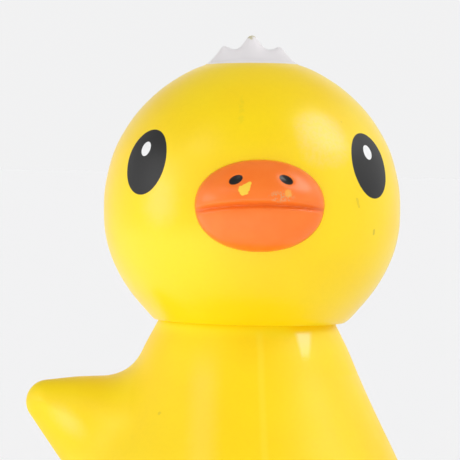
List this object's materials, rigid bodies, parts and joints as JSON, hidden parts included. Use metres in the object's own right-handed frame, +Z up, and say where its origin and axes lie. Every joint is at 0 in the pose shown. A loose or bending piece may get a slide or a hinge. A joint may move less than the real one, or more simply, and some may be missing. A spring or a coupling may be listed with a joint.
{
  "type": "vinyl chick figurine",
  "caption": "Soft-vinyl chick figurine with a round head that turns on a cone-shaped body, short wings held out and a flat base.",
  "frame": {"origin": "centre of the flat base", "axes": "+Z up, -Y is the way the body faces, +X is the figure's own left, which is on the right as seen from the front; the head is at rest turned 32 degrees towards -X"},
  "size_m": [0.0812, 0.0754, 0.1185],
  "materials": {
    "head_vinyl": "satin soft vinyl, sprayed orange bill, black eyes, white crown",
    "body_vinyl": "satin soft vinyl"
  },
  "bodies": {
    "body": {"body": "body_vinyl"},
    "head": {"head": "head_vinyl"}
  },
  "joints": [
    {"name": "head_turn", "type": "hinge", "parent": "body", "child": "head", "pos_m": [0, 0, 0.0571], "axis": [0, 0, 1], "continuous": true}
  ]
}
